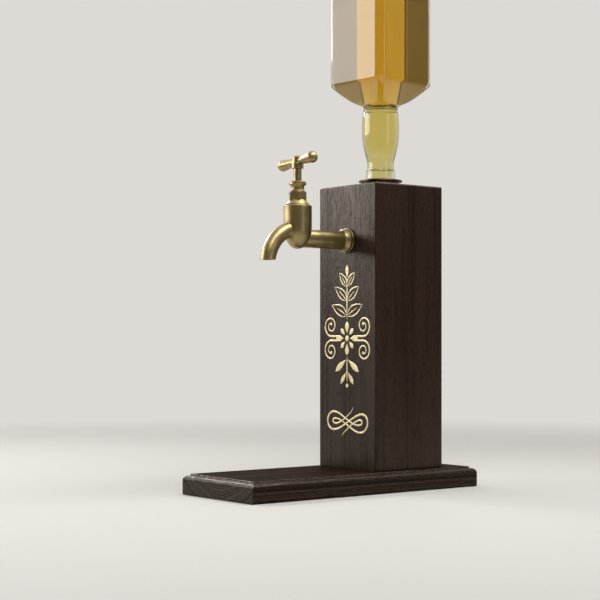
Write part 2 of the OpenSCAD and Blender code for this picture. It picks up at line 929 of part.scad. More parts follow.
module spindle() {
    color(brass_satin)
        difference() {
            union() {
                on_barrel(spindle_low)
                    cylinder(d = screw_part_d, h = screw_part_len);
                on_barrel(spindle_low)
                    cylinder(d = spindle_d, h = spindle_shoulder - spindle_low);
                on_barrel(spindle_shoulder + square_len / 2)
                    cube([square_side, square_side, square_len + 2 * over], center = true);
            }
            on_barrel(spindle_shoulder + square_len)
                cylinder(d = spindle_d, h = 2 * over);
            on_barrel(spindle_low - over)
                cylinder(d = stem_bore, h = stem_len + end_gap + over);
            on_barrel(keeper_z)
                translate([keeper_x, 0, 0])
                    rotate([90, 0, 0])
                        cylinder(d = keeper_d + 2 * run_fit, h = screw_part_d + over, center = true);
        }
}

module jumper_keeper() {
    color(steel_turned)
        on_barrel(keeper_z)
            translate([keeper_x, 0, 0])
                rotate([90, 0, 0])
                    cylinder(d = keeper_d, h = keeper_len, center = true);
}

// The handle is one casting: a domed hub on a skirt, and a crossbar with round ends
module handle() {
    socket = square_side + 2 * plug_fit;
    color(brass_satin)
        on_barrel(spindle_shoulder)
            difference() {
                union() {
                    rotate_extrude()
                        eased_rect([0, 0], [skirt_d / 2, skirt_h], turned_ease);
                    intersection() {
                        cylinder(d = hub_d, h = hub_h);
                        translate([0, 0, hub_h - hub_dome_r])
                            sphere(r = hub_dome_r);
                    }
                    translate([0, 0, bar_rise])
                        rotate([0, -bar_tilt, 0])
                            for (turn = [0, 180])
                                rotate([0, 90, turn]) {
                                    cylinder(r1 = arm_r, r2 = arm_end_r, h = arm_end);
                                    translate([0, 0, bar_reach])
                                        sphere(r = knob_r);
                                }
                }
                translate([-socket / 2, -socket / 2, -over])
                    cube([socket, socket, square_len + end_gap + over]);
                translate([0, 0, grub_rise])
                    rotate([-90, 0, 0])
                        cylinder(d = grub_d + 2 * plug_fit, h = skirt_d);
            }
}

module handle_grub_screw() {
    start = square_side / 2;
    color(steel_turned)
        on_barrel(spindle_shoulder + grub_rise)
            translate([0, start, 0])
                rotate([-90, 0, 0])
                    cylinder(d = grub_d, h = skirt_d / 2 - start - end_gap);
}

base_board();
post();
base_screws();
reservoir_cup();
bottle_seat();
seat_gasket();
bottle();
tap_body();
port_seal();
wall_flange();
wall_washer();
bonnet();
bonnet_washer();
gland_packing();
gland_nut();
jumper();
tap_washer();
washer_nut();
spindle();
jumper_keeper();
handle();
handle_grub_screw();
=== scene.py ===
"""Finishes, glass, drink, gilding and studio of a countertop drink dispenser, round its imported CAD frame.

Lengths are in millimetres up to the point where a mesh or a lamp takes them in metres.
"""

import logging
import math
from dataclasses import dataclass
from enum import Enum

import bpy
import numpy as np
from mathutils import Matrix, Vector


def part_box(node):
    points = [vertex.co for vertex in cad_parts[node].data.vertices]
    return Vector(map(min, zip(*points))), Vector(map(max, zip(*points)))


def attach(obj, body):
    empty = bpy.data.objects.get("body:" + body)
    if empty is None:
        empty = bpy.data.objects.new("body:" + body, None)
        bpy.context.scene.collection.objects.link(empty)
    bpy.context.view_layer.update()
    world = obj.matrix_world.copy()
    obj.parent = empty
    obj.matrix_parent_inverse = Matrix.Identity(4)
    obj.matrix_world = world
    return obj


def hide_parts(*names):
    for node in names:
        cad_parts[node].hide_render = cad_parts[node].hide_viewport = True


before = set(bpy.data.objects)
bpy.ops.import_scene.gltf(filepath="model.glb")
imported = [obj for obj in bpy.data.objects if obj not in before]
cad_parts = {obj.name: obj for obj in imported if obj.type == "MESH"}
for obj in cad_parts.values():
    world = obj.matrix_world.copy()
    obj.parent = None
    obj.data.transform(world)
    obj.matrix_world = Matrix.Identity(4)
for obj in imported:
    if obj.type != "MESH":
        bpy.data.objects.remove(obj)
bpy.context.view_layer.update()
log = logging.getLogger("dispenser")

Tree = bpy.types.NodeTree
Socket = bpy.types.NodeSocket
Pair = tuple[float, float]
Triple = tuple[float, float, float]

MILLIMETRE = 0.001
# Makes a Mix node blend the colours on its inputs 6 and 7 by the share on its input 0
BLEND = {"output": 2, "data_type": "RGBA"}


def linear(code: str) -> tuple[float, float, float, float]:
    """Turns an sRGB colour into the linear colour that a socket takes.

    Args:
        code: Hash and six hexadecimal digits.

    Returns:
        Red, green and blue in linear light, and an alpha of one.
    """
    shown = [int(code[at:at + 2], 16) / 255 for at in (1, 3, 5)]
    red, green, blue = (c / 12.92 if c <= 0.04045 else ((c + 0.055) / 1.055) ** 2.4 for c in shown)
    return red, green, blue, 1.0


def add(
    tree: Tree, kind: str, inputs: dict | None = None, output: int | str = 0, **settings: object
) -> Socket | None:
    """Adds one node with its settings, values and links.

    Args:
        tree: Node tree that takes the node.
        kind: Blender's name for the node's type, less the ShaderNode that it starts with.
        inputs: Values, or sockets to link from, by the input's name or number.
        output: Name or number of the output that is wanted.
        settings: Properties of the node itself.

    Returns:
        The wanted output socket, or None for a node that has none.
    """
    node = tree.nodes.new("ShaderNode" + kind)
    for name, setting in settings.items():
        setattr(node, name, setting)
    for name, value in (inputs or {}).items():
        if isinstance(value, Socket):
            tree.links.new(value, node.inputs[name])
        else:
            node.inputs[name].default_value = value
    return node.outputs[output] if node.outputs else None


@dataclass(frozen=True)
class Finish:
    """A surface that makes one Blender material, under the name of the real one."""

    name: str

    def surface(self, tree: Tree) -> Socket:
        """Builds the surface shader in the material's node tree, and gives its output."""
        raise NotImplementedError

    def volume(self, tree: Tree) -> Socket | None:
        """Builds the shader of the inside, which most finishes don't have, and gives its output."""
        return None

    def material(self) -> bpy.types.Material:
        """Makes the material.

        Returns:
            The new material.
        """
        made = bpy.data.materials.new(self.name)
        made.use_nodes = True
        tree = made.node_tree
        tree.nodes.clear()
        shaders = {"Surface": self.surface(tree), "Volume": self.volume(tree)}
        add(tree, "OutputMaterial", {name: shader for name, shader in shaders.items() if shader})
        return made

    @staticmethod
    def place(tree: Tree, shift: Triple = (0, 0, 0), turn: Triple = (0, 0, 0)) -> Socket:
        """Gives the point being shaded, in millimetres of the row frame.

        Args:
            tree: Node tree of the material.
            shift: Millimetres that the pattern's origin is moved by, after the turn.
            turn: Angles in radians that the pattern is turned by.

        Returns:
            Vector output of the point.
        """
        point = add(tree, "TexCoord", output="Object")
        scale = (1 / MILLIMETRE,) * 3
        return add(tree, "Mapping", {"Vector": point, "Location": shift, "Rotation": turn, "Scale": scale})


class Fibre(Enum):
    """Way that the fibres of a board run: the turn that lays them along Z of the grain pattern."""

    UPRIGHT = (0.0, 0.0, 0.0)
    LENGTHWISE = (math.pi / 2, 0.0, 0.0)

    @property
    def way(self) -> Triple:
        """Direction that the fibres run in."""
        return 0.0, math.sin(self.value[0]), math.cos(self.value[0])


@dataclass(frozen=True)
class StainedWood(Finish):
    """Straight-grained open-pored hardwood under dark stain and a thin satin lacquer.

    To the eye: dark year lines with browner wood between, short sunken pores and a soft sheen.
    On an end the same solid pattern comes out as arcs. Real rings, fibres and pores are finer than
    a pixel, so they are drawn coarser. The pale rubbed edges are partly a painted highlight.

    Attributes:
        fibre: Way that the fibres run.
        heart: Where the tree's heart is off the pattern's origin, across the fibres.
        ring: Mean width of a year ring.
        strand: Width of a bundle of fibres.
        streak: Width of a streak of colour.
        speck: Width of a pore.
        years: How strongly the year rings show.
        gather: How much of the wood shows hardly any year lines, as they come in groups.
        pale: Colour of the early wood.
        dark: Colour of the late wood.
        pore: Colour in a pore.
        arris: Radius that the edges look rounded by.
        worn: Colour along the edges, where the stain is rubbed, and of the painted highlight there.
        wear: How far it is rubbed there, and how strong the painted highlight is.
        fray_and_glint: How much further on upper edges that cut the fibres off, with more painted highlight
            there.
        rough: Least roughness of the lacquer.
        dulled: How much rougher use has made the faces that things stand on.
        sheen: Strength of the lacquer's reflection, where a half is that of common lacquer.
        tint: Colour that the lacquer gives its own reflection.
        tooth: How much the pores and fibres show in the lacquer.
    """

    fibre: Fibre
    heart: Pair
    ring: float = 2.7
    strand: float = 1.8
    streak: float = 13.0
    speck: float = 1.5
    years: float = 0.5
    gather: float = 0.42
    pale: str = "#2e190c"
    dark: str = "#0e0602"
    pore: str = "#0a0503"
    arris: float = 1.4
    # Edge colour: rubbed stain and a painted highlight; the next two fields set how much of it.
    worn: str = "#857563"
    wear: float = 0.5
    fray_and_glint: float = 0.0
    rough: float = 0.3
    dulled: float = 0.4
    sheen: float = 0.5
    tint: str = "#ffead6"
    tooth: float = 0.45

    def grain(self, tree: Tree, place: Socket) -> tuple[Socket, Socket, Socket]:
        """Builds year rings about the heart, and fibres, streaks and pores drawn out along the wood.

        Args:
            tree: Node tree of the material.
            place: Point being shaded, with the fibres along Z.

        Returns:
            How dark the wood is, the lie of its fibres, and how deep in a pore the point is.
        """
        drawn = add(tree, "VectorMath", {0: place, 1: (1, 1, 0.05)}, operation="MULTIPLY")
        short = add(tree, "VectorMath", {0: place, 1: (1, 1, 0.2)}, operation="MULTIPLY")
        sway = add(tree, "TexNoise", {"Vector": drawn, "Scale": 1 / 34, "Detail": 2.0}, output="Color")
        bent = add(tree, "VectorMath", {0: sway, 1: (9, 9, 0), 2: drawn}, operation="MULTIPLY_ADD")
        across = add(tree, "VectorMath", {0: bent, 1: (1, 1, 0)}, operation="MULTIPLY")
        radius = add(tree, "VectorMath", {0: across}, output="Value", operation="LENGTH")
        growth = add(tree, "TexNoise", {"W": radius, "Scale": 1 / 11, "Detail": 2.0}, noise_dimensions="1D")
        pace = add(tree, "Math", {0: growth, 1: 3.0}, operation="MULTIPLY")
        turns = add(tree, "Math", {0: radius, 1: 1 / self.ring, 2: pace}, operation="MULTIPLY_ADD")
        year = add(tree, "Math", {0: turns}, operation="FRACT")
        late = add(tree, "MapRange", {"Value": year, "From Min": 0.3, "From Max": 0.95})
        fibres = add(
            tree, "TexNoise", {"Vector": drawn, "Scale": 1 / self.strand, "Detail": 3.0, "Roughness": 0.65}
        )
        streaks = add(tree, "TexNoise", {"Vector": drawn, "Scale": 1 / self.streak, "Detail": 2.0})
        specks = add(tree, "TexNoise", {"Vector": short, "Scale": 1 / self.speck, "Detail": 1.0})
        pores = add(tree, "MapRange", {"Value": specks, "From Min": 0.54, "From Max": 0.68})
        bands = add(
            tree,
            "MapRange",
            {"Value": streaks, "From Min": self.gather, "From Max": self.gather + 0.18, "To Max": self.years},
        )
        lines = add(tree, "Math", {0: late, 1: bands, 2: fibres}, operation="MULTIPLY_ADD")
        tones = add(tree, "Math", {0: streaks, 1: 0.4, 2: lines}, operation="MULTIPLY_ADD")
        middle, span = 0.7 + self.years / 4, 0.25 + self.years / 2
        tone = add(tree, "MapRange", {"Value": tones, "From Min": middle - span, "From Max": middle + span})
        return tone, fibres, pores

    def edges(self, tree: Tree, place: Socket, soft: Socket, upward: Socket) -> Socket:
        """Builds wear and a painted highlight in spots on edges, where the rounded normal leaves the true
        one.

        Args:
            tree: Node tree of the material.
            place: Point being shaded.
            soft: Normal with the edges rounded.
            upward: How far that normal looks up.

        Returns:
            Share of the stain that is gone, and of the painted highlight on the edges.
        """
        true = add(tree, "NewGeometry", output="Normal")
        level = add(tree, "VectorMath", {0: soft, 1: true}, output="Value", operation="DOT_PRODUCT")
        edge = add(tree, "MapRange", {"Value": level, "From Min": 0.99, "From Max": 0.9})
        rubs = add(tree, "TexNoise", {"Vector": place, "Scale": 1 / 3, "Detail": 3.0})
        rubbed = add(tree, "MapRange", {"Value": rubs, "From Min": 0.4, "From Max": 0.6})
        along = add(tree, "VectorMath", {0: soft, 1: self.fibre.way}, output="Value", operation="DOT_PRODUCT")
        cut = add(tree, "Math", {0: along, 1: upward}, operation="MULTIPLY")
        ends = add(tree, "Math", {0: cut}, operation="ABSOLUTE")
        # Upper edges across the fibres get more of it: fraying, and a painted highlight of the light from
        # above.
        depth = add(tree, "Math", {0: ends, 1: self.fray_and_glint, 2: self.wear}, operation="MULTIPLY_ADD")
        wear_and_glint = add(tree, "Math", {0: rubbed, 1: depth}, operation="MULTIPLY")
        return add(tree, "Math", {0: edge, 1: wear_and_glint}, operation="MULTIPLY", use_clamp=True)

    def surface(self, tree: Tree) -> Socket:
        """Builds the stain in the grain, the lacquer over it, the marks of use, and a painted highlight on
        edges.

        Args:
            tree: Node tree of the material.

        Returns:
            The shader's output.
        """
        place = self.place(tree, (-self.heart[0], -self.heart[1], 0), self.fibre.value)
        tone, fibres, pores = self.grain(tree, place)
        soft = add(tree, "Bevel", {"Radius": self.arris * MILLIMETRE}, samples=6)
        upward = add(tree, "SeparateXYZ", {0: soft}, output="Z")
        wear_and_glint = self.edges(tree, place, soft, upward)
        wood = add(tree, "Mix", {0: tone, 6: linear(self.pale), 7: linear(self.dark)}, **BLEND)
        share = add(tree, "Math", {0: pores, 1: 0.9}, operation="MULTIPLY")
        stained = add(tree, "Mix", {0: share, 6: wood, 7: linear(self.pore)}, **BLEND)
        # Lays the edge colour: rubbed stain, and a painted highlight along the edges.
        colour = add(tree, "Mix", {0: wear_and_glint, 6: stained, 7: linear(self.worn)}, **BLEND)
        smoothed = {"From Min": 0.3, "From Max": 0.7, "To Min": self.rough, "To Max": self.rough + 0.14}
        lacquer = add(tree, "MapRange", {"Value": fibres, **smoothed})
        used = add(tree, "MapRange", {"Value": upward, "From Min": 0.94, "To Max": self.dulled})
        rough = add(tree, "Math", {0: lacquer, 1: used}, operation="ADD")
        sunken = add(tree, "Math", {0: pores, 1: 0.4, 2: tone}, operation="MULTIPLY_ADD")
        spread = 0.25 + 0.2 * self.years
        most, least = (1 + spread) * self.sheen, (1 - spread) * self.sheen
        shine = add(tree, "MapRange", {"Value": sunken, "To Min": most, "To Max": least})
        wiped = add(tree, "Math", {0: used, 1: -2.2, 2: 1.0}, operation="MULTIPLY_ADD")
        gleam = add(tree, "Math", {0: shine, 1: wiped}, operation="MULTIPLY")
        height = add(tree, "Math", {0: pores, 1: -0.8, 2: fibres}, operation="MULTIPLY_ADD")
        normal = add(
            tree, "Bump", {"Height": height, "Strength": self.tooth, "Distance": 0.0003, "Normal": soft}
        )
        return add(
            tree,
            "BsdfPrincipled",
            {
                "Base Color": colour,
                "Roughness": rough,
                "Normal": normal,
                "Specular IOR Level": gleam,
                "Specular Tint": linear(self.tint),
            },
        )


@dataclass(frozen=True)
class SatinBrass(Finish):
    """Cast brass rubbed to a satin, waxed, and gone khaki with age.

    To the eye: broad soft highlights, a faint mottle of tarnish, and brown in the corners that no
    cloth reaches.

    Attributes:
        bright: Colour where it is rubbed.
        dull: Colour where it has tarnished.
        corner: Colour deep in a corner.
        blotch: Size of a patch of tarnish.
        mark: Width of a rubbing mark, drawn coarse enough to show.
        nook: How far out of a corner the brown reaches.
        edge: Radius that the edges look rounded by.
    """

    bright: str = "#ad9655"
    dull: str = "#87733e"
    corner: str = "#3a2d18"
    blotch: float = 14.0
    mark: float = 2.2
    nook: float = 5.0
    edge: float = 0.5

    def surface(self, tree: Tree) -> Socket:
        """Builds the mottle, the corners' tarnish and the fine rubbing marks, with worn edges and wax.

        Args:
            tree: Node tree of the material.

        Returns:
            The shader's output.
        """
        place = self.place(tree)
        mottle = add(
            tree, "TexNoise", {"Vector": place, "Scale": 1 / self.blotch, "Detail": 3.0, "Roughness": 0.5}
        )
        marks = add(tree, "TexNoise", {"Vector": place, "Scale": 1 / self.mark, "Detail": 2.0})
        spread = add(tree, "MapRange", {"Value": mottle, "From Min": 0.35, "From Max": 0.65})
        metal = add(tree, "Mix", {0: spread, 6: linear(self.bright), 7: linear(self.dull)}, **BLEND)
        sky = add(tree, "AmbientOcclusion", {"Distance": self.nook * MILLIMETRE}, output="AO", samples=6)
        deep = add(tree, "MapRange", {"Value": sky, "From Min": 0.75, "From Max": 0.3, "To Max": 0.85})
        colour = add(tree, "Mix", {0: deep, 6: metal, 7: linear(self.corner)}, **BLEND)
        satin = {"From Min": 0.3, "From Max": 0.7, "To Min": 0.38, "To Max": 0.45}
        rough = add(tree, "MapRange", {"Value": mottle, **satin})
        worn = add(tree, "Bevel", {"Radius": self.edge * MILLIMETRE}, samples=6)
        normal = add(tree, "Bump", {"Height": marks, "Strength": 0.03, "Distance": 0.0002, "Normal": worn})
        return add(
            tree,
            "BsdfPrincipled",
            {
                "Base Color": colour,
                "Metallic": 1.0,
                "Roughness": rough,
                "Normal": normal,
                "Coat Weight": 1.0,
                "Coat IOR": 1.7,
                "Coat Roughness": 0.34,
            },
        )


@dataclass(frozen=True)
class TurnedSteel(Finish):
    """Stainless steel straight from the lathe.

    To the eye: a neutral gleam broken up by fine rings about the axis it was turned on.

    Attributes:
        axis: X and Y of the axis.
        pitch: Width of a turning mark, drawn coarse enough to show.
        metal: Colour of the steel.
        groove: Colour in a turning mark.
    """

    axis: Pair
    pitch: float = 0.8
    metal: str = "#c4c0ba"
    groove: str = "#96918a"

    def surface(self, tree: Tree) -> Socket:
        """Builds rings about the axis.

        Args:
            tree: Node tree of the material.

        Returns:
            The shader's output.
        """
        place = self.place(tree, (-self.axis[0], -self.axis[1], 0))
        across = add(tree, "VectorMath", {0: place, 1: (1, 1, 0)}, operation="MULTIPLY")
        radius = add(tree, "VectorMath", {0: across}, output="Value", operation="LENGTH")
        rings = {"W": radius, "Scale": 1 / self.pitch, "Detail": 2.0}
        marks = add(tree, "TexNoise", rings, noise_dimensions="1D")
        spread = add(tree, "MapRange", {"Value": marks, "From Min": 0.3, "From Max": 0.7})
        colour = add(tree, "Mix", {0: spread, 6: linear(self.metal), 7: linear(self.groove)}, **BLEND)
        rough = add(tree, "MapRange", {"Value": marks, "To Min": 0.2, "To Max": 0.42})
        normal = add(tree, "Bump", {"Height": marks, "Strength": 0.15, "Distance": 0.0002})
        return add(
            tree,
            "BsdfPrincipled",
            {"Base Color": colour, "Metallic": 1.0, "Roughness": rough, "Normal": normal},
        )


@dataclass(frozen=True)
class Moulding(Finish):
    """Plastic, rubber, fibre or packing that isn't shiny.

    To the eye: one quiet colour with a mottle and a fine tooth.

    Attributes:
        light: Lighter colour of the mottle.
        shade: Darker colour of the mottle.
        tooth: Size of the surface's texture.
        roughness: Least roughness.
        blotch: Size of a patch of the mottle.
    """

    light: str
    shade: str
    tooth: float
    roughness: float
    blotch: float = 6.0

    def surface(self, tree: Tree) -> Socket:
        """Builds the mottle and the tooth.

        Args:
            tree: Node tree of the material.

        Returns:
            The shader's output.
        """
        place = self.place(tree)
        mottle = add(tree, "TexNoise", {"Vector": place, "Scale": 1 / self.blotch, "Detail": 3.0})
        grains = add(tree, "TexNoise", {"Vector": place, "Scale": 1 / self.tooth, "Detail": 2.0})
        colour = add(tree, "Mix", {0: mottle, 6: linear(self.light), 7: linear(self.shade)}, **BLEND)
        matt = {"To Min": self.roughness, "To Max": self.roughness + 0.25}
        rough = add(tree, "MapRange", {"Value": grains, **matt})
        normal = add(tree, "Bump", {"Height": grains, "Strength": 0.3, "Distance": 0.0002})
        return add(tree, "BsdfPrincipled", {"Base Color": colour, "Roughness": rough, "Normal": normal})


@dataclass(frozen=True)
class ClearGlass(Finish):
    """Moulded bottle glass.

    To the eye: clear with a breath of green, and slightly wavy from the mould.

    Attributes:
        clear: Colour of most of it.
        tint: Colour of the greener parts.
        wave: Length of the mould's waves.
    """

    clear: str = "#f8faf8"
    tint: str = "#eef4ef"
    wave: float = 26.0

    def surface(self, tree: Tree) -> Socket:
        """Builds the tint and the mould's waves.

        Args:
            tree: Node tree of the material.

        Returns:
            The shader's output.
        """
        place = self.place(tree)
        waves = add(tree, "TexNoise", {"Vector": place, "Scale": 1 / self.wave, "Detail": 0.0})
        colour = add(tree, "Mix", {0: waves, 6: linear(self.clear), 7: linear(self.tint)}, **BLEND)
        normal = add(tree, "Bump", {"Height": waves, "Strength": 0.03, "Distance": 0.001})
        return add(
            tree,
            "BsdfPrincipled",
            {
                "Base Color": colour,
                "Roughness": 0.01,
                "IOR": 1.5,
                "Transmission Weight": 1.0,
                "Normal": normal,
            },
        )


@dataclass(frozen=True)
class AmberDrink(Finish):
    """Amber spirit.

    To the eye: pale yellow in the narrow neck and deep gold across the body, for it colours by depth.

    Attributes:
        depth: What is left of white light after a long way through it.
        density: How soon it is, per metre.
        clear: Colour of most of its skin.
        tint: Colour of the skin's faint streaks.
        streak: Width of a streak.
    """

    depth: str = "#fcea3f"
    density: float = 46.0
    clear: str = "#fffdf6"
    tint: str = "#fff4d6"
    streak: float = 25.0

    def surface(self, tree: Tree) -> Socket:
        """Builds the liquid's skin, with faint streaks.

        Args:
            tree: Node tree of the material.

        Returns:
            The shader's output.
        """
        place = self.place(tree)
        streaks = add(tree, "TexNoise", {"Vector": place, "Scale": 1 / self.streak, "Detail": 1.0})
        colour = add(tree, "Mix", {0: streaks, 6: linear(self.clear), 7: linear(self.tint)}, **BLEND)
        return add(
            tree,
            "BsdfPrincipled",
            {"Base Color": colour, "Roughness": 0.0, "IOR": 1.36, "Transmission Weight": 1.0},
        )

    def volume(self, tree: Tree) -> Socket:
        """Builds the absorption that gives the colour."""
        return add(tree, "VolumeAbsorption", {"Color": linear(self.depth), "Density": self.density})


@dataclass(frozen=True)
class GoldLeaf(Finish):
    """Gold leaf laid by hand.

    To the eye: pale gold with worn patches where the size took less.

    Attributes:
        gold: Colour where the leaf is whole.
        thin: Colour where it is thin.
        patch: Size of a worn patch.
    """

    gold: str = "#f6ebc4"
    thin: str = "#d8bc7a"
    patch: float = 2.5

    def surface(self, tree: Tree) -> Socket:
        """Builds the worn patches.

        Args:
            tree: Node tree of the material.

        Returns:
            The shader's output.
        """
        place = self.place(tree)
        patches = add(tree, "TexNoise", {"Vector": place, "Scale": 1 / self.patch, "Detail": 3.0})
        spread = add(tree, "MapRange", {"Value": patches, "From Min": 0.42, "From Max": 0.68})
        colour = add(tree, "Mix", {0: spread, 6: linear(self.gold), 7: linear(self.thin)}, **BLEND)
        rough = add(tree, "MapRange", {"Value": patches, "To Min": 0.3, "To Max": 0.6})
        normal = add(tree, "Bump", {"Height": patches, "Strength": 0.2, "Distance": 0.0001})
        return add(
            tree,
            "BsdfPrincipled",
            {"Base Color": colour, "Metallic": 0.7, "Roughness": rough, "Normal": normal},
        )


@dataclass(frozen=True)
class Backdrop:
    """Pale backdrop of the studio, and how bright it is by direction.

    Attributes:
        colour: Its colour.
        bright: Direction of its brighter side.
        glow: Strength of the light that it gives there.
        shade: What a mirror sees of it on the other side, as a share.
        haze: What is seen of it there through glass, as a share.
    """

    colour: str = "#dddad5"
    bright: Triple = (-0.55, 0.5, 0.67)
    glow: float = 0.26
    shade: float = 0.1
    haze: float = 0.32

    def grade(self, tree: Tree, way: Socket, least: float) -> Socket:
        """Gives its strength by direction, full on the bright side.

        Args:
            tree: Node tree that asks.
            way: Direction that is looked in.
            least: What is left on the other side.

        Returns:
            Output between the least and one.
        """
        toward = add(tree, "VectorMath", {0: way, 1: self.bright}, output="Value", operation="DOT_PRODUCT")
        ramp = {"Value": toward, "From Max": 0.6, "To Min": least}
        return add(tree, "MapRange", ramp, interpolation_type="SMOOTHSTEP")

    def outlook(self, tree: Tree, way: Socket) -> Socket:
        """Gives how bright it is to a ray that looks at it: full to the eye, graded in glass and mirrors.

        Args:
            tree: Node tree that asks.
            way: Direction that is looked in.

        Returns:
            Output up to one, and nothing for a ray that only gathers light.
        """
        best = add(tree, "LightPath", output="Is Camera Ray")
        rays = best.node.outputs
        for ray, least in (("Is Transmission Ray", self.haze), ("Is Glossy Ray", self.shade)):
            graded = self.grade(tree, way, least)
            seen = add(tree, "Math", {0: rays[ray], 1: graded}, operation="MULTIPLY")
            best = add(tree, "Math", {0: best, 1: seen}, operation="MAXIMUM")
        return best


@dataclass(frozen=True)
class PaleFloor(Finish):
    """Matt card that the object stands on, and that runs out into the backdrop.

    To the eye: a plain pale ground without an end, which holds the object's soft shadow.

    Attributes:
        card: Colour of the card.
        fleck: Colour of its flecks.
        backdrop: Backdrop that it ends in.
        grain: Size of a fleck, drawn coarse enough to show.
        near: Where it starts to give way to the backdrop, in metres from the middle.
        far: Where it has given way.
    """

    card: str
    fleck: str
    backdrop: Backdrop
    grain: float = 2.5
    near: float = 0.4
    far: float = 1.5

    def surface(self, tree: Tree) -> Socket:
        """Builds the card, and the backdrop's own light further out, where the eye or a mirror looks.

        Args:
            tree: Node tree of the material.

        Returns:
            The shader's output.
        """
        point = add(tree, "TexCoord", output="Object")
        scale = 1 / (self.grain * MILLIMETRE)
        flecks = add(tree, "TexNoise", {"Vector": point, "Scale": scale, "Detail": 2.0})
        colour = add(tree, "Mix", {0: flecks, 6: linear(self.card), 7: linear(self.fleck)}, **BLEND)
        card = add(tree, "BsdfPrincipled", {"Base Color": colour, "Roughness": 0.7})
        reach = add(tree, "VectorMath", {0: point}, output="Value", operation="LENGTH")
        ramp = {"Value": reach, "From Min": self.near, "From Max": self.far}
        away = add(tree, "MapRange", ramp, interpolation_type="SMOOTHSTEP")
        way = add(tree, "VectorMath", {0: point}, operation="NORMALIZE")
        lit = self.backdrop.outlook(tree, way)
        glow = add(tree, "Emission", {"Color": linear(self.backdrop.colour), "Strength": lit})
        look = add(tree, "Math", {0: lit}, operation="SIGN")
        seen = add(tree, "Math", {0: away, 1: look}, operation="MULTIPLY")
        return add(tree, "MixShader", {0: seen, 1: card, 2: glow})


def solid(name: str, grids: list[np.ndarray], material: bpy.types.Material) -> bpy.types.Object:
    """Makes one object of closed tubes of points.

    Every grid has rows along the tube and columns round it. The columns close on themselves, and each
    end closes on the middle of its row. Faces are turned outward by the sign of the volume they hold.

    Args:
        name: Name of the object.
        grids: Points in millimetres, each of shape (rows, columns, 3).
        material: Material of the object.

    Returns:
        The object, linked to the scene.
    """
    points, faces, start = [], [], 0
    for grid in grids:
        rows, columns, _ = grid.shape
        near = np.arange(columns)
        far = (near + 1) % columns
        row = np.arange(rows - 1)[:, None] * columns
        first, last = rows * columns, rows * columns + 1
        sides = (row + near, row + far, row + columns + far, row + columns + near)
        quads = np.stack(sides, axis=-1).reshape(-1, 4)
        top = (rows - 1) * columns
        caps = np.concatenate((
            np.stack((np.full(columns, first), far, near), axis=-1),
            np.stack((np.full(columns, last), top + near, top + far), axis=-1),
        ))
        cloud = np.vstack((grid.reshape(-1, 3), grid[0].mean(axis=0), grid[-1].mean(axis=0)))
        corners = cloud[np.vstack((quads[:, [0, 1, 2]], quads[:, [0, 2, 3]], caps))]
        held = np.einsum("ij,ij->", corners[:, 0], np.cross(corners[:, 1], corners[:, 2]))
        turn = 1 if held > 0 else -1
        points.append(cloud)
        faces += (quads[:, ::turn] + start).tolist() + (caps[:, ::turn] + start).tolist()
        start += len(cloud)
    mesh = bpy.data.meshes.new(name)
    mesh.from_pydata((np.vstack(points) * MILLIMETRE).tolist(), [], faces)
    mesh.polygons.foreach_set("use_smooth", np.ones(len(mesh.polygons), bool))
    mesh.materials.append(material)
    mesh.update()
    made = bpy.data.objects.new(name, mesh)
    bpy.context.scene.collection.objects.link(made)
    return made


def dress(material: bpy.types.Material, *nodes: str) -> None:
    """Puts a material in the slots of CAD nodes.

    Args:
        material: The material.
        nodes: Names of the nodes.
    """
    for name in nodes:
        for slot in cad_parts[name].material_slots:
            slot.material = material
        log.info("%s: %s", name, material.name)


def eased(corners: list[Triple], steps: int = 7) -> np.ndarray:
    """Rounds the corners of a broken line.

    A corner gives way to the parabola that leaves the one side and meets the other at its ease from
    the corner: (1-t)^2 A + 2t(1-t) C + t^2 B. The first and last points stay.

    Args:
        corners: Two coordinates and the ease of each point.
        steps: Points on each rounding.

    Returns:
        Points of the rounded line, of shape (n, 2).
    """
    line = np.array(corners)
    spot, ease = line[:, :2], line[1:-1, 2:]
    before, after = spot[:-2] - spot[1:-1], spot[2:] - spot[1:-1]
    leave = spot[1:-1] + before / np.linalg.norm(before, axis=1, keepdims=True) * ease
    meet = spot[1:-1] + after / np.linalg.norm(after, axis=1, keepdims=True) * ease
    t = np.linspace(0, 1, steps)[None, :, None]
    arcs = (1 - t) ** 2 * leave[:, None] + 2 * t * (1 - t) * spot[1:-1, None] + t ** 2 * meet[:, None]
    return np.vstack((spot[:1], arcs.reshape(-1, 2), spot[-1:]))


def spaced(line: np.ndarray, step: float) -> np.ndarray:
    """Adds points to a line wherever they stand too far apart, and keeps those it has.

    Args:
        line: Points of shape (n, 2).
        step: Greatest distance wanted.

    Returns:
        Points of the same line.
    """
    run = np.concatenate(([0], np.cumsum(np.linalg.norm(np.diff(line, axis=0), axis=1))))
    marks = np.union1d(np.round(run, 4), np.round(np.arange(0, run[-1], step), 4))
    return np.stack([np.interp(marks, run, line[:, at]) for at in (0, 1)], axis=-1)


def smooth(start: float, length: float, at: np.ndarray) -> np.ndarray:
    """Gives a ramp from nought to one that is eased at both ends: r^2 (3 - 2r), with r the share of it done.

    Args:
        start: Where the ramp starts.
        length: How long it is.
        at: Where it is asked for.

    Returns:
        Height of the ramp there.
    """
    ramp = np.clip((at - start) / length, 0, 1)
    return ramp ** 2 * (3 - 2 * ramp)


class Stand:
    """Board and the post that stands on it."""

    def dress(self) -> None:
        """Gives the board wood that lies along it, and the post wood that stands up in it."""
        post = StainedWood("stained_wood_upright", Fibre.UPRIGHT, (-170.0, 235.0))
        board = StainedWood(
            "stained_wood_lengthwise",
            Fibre.LENGTHWISE,
            (8.0, -74.0),
            ring=3.0,
            years=1.8,
            gather=0.1,
            # Near-white edge colour, strongest on the front end's upper edges: rubbed wood and a painted
            # highlight.
            worn="#d6ccbd",
            wear=0.15,
            fray_and_glint=2.8,
            rough=0.24,
            sheen=0.38,
            tooth=0.9,
        )
        dress(post.material(), "post")
        dress(board.material(), "base_board")


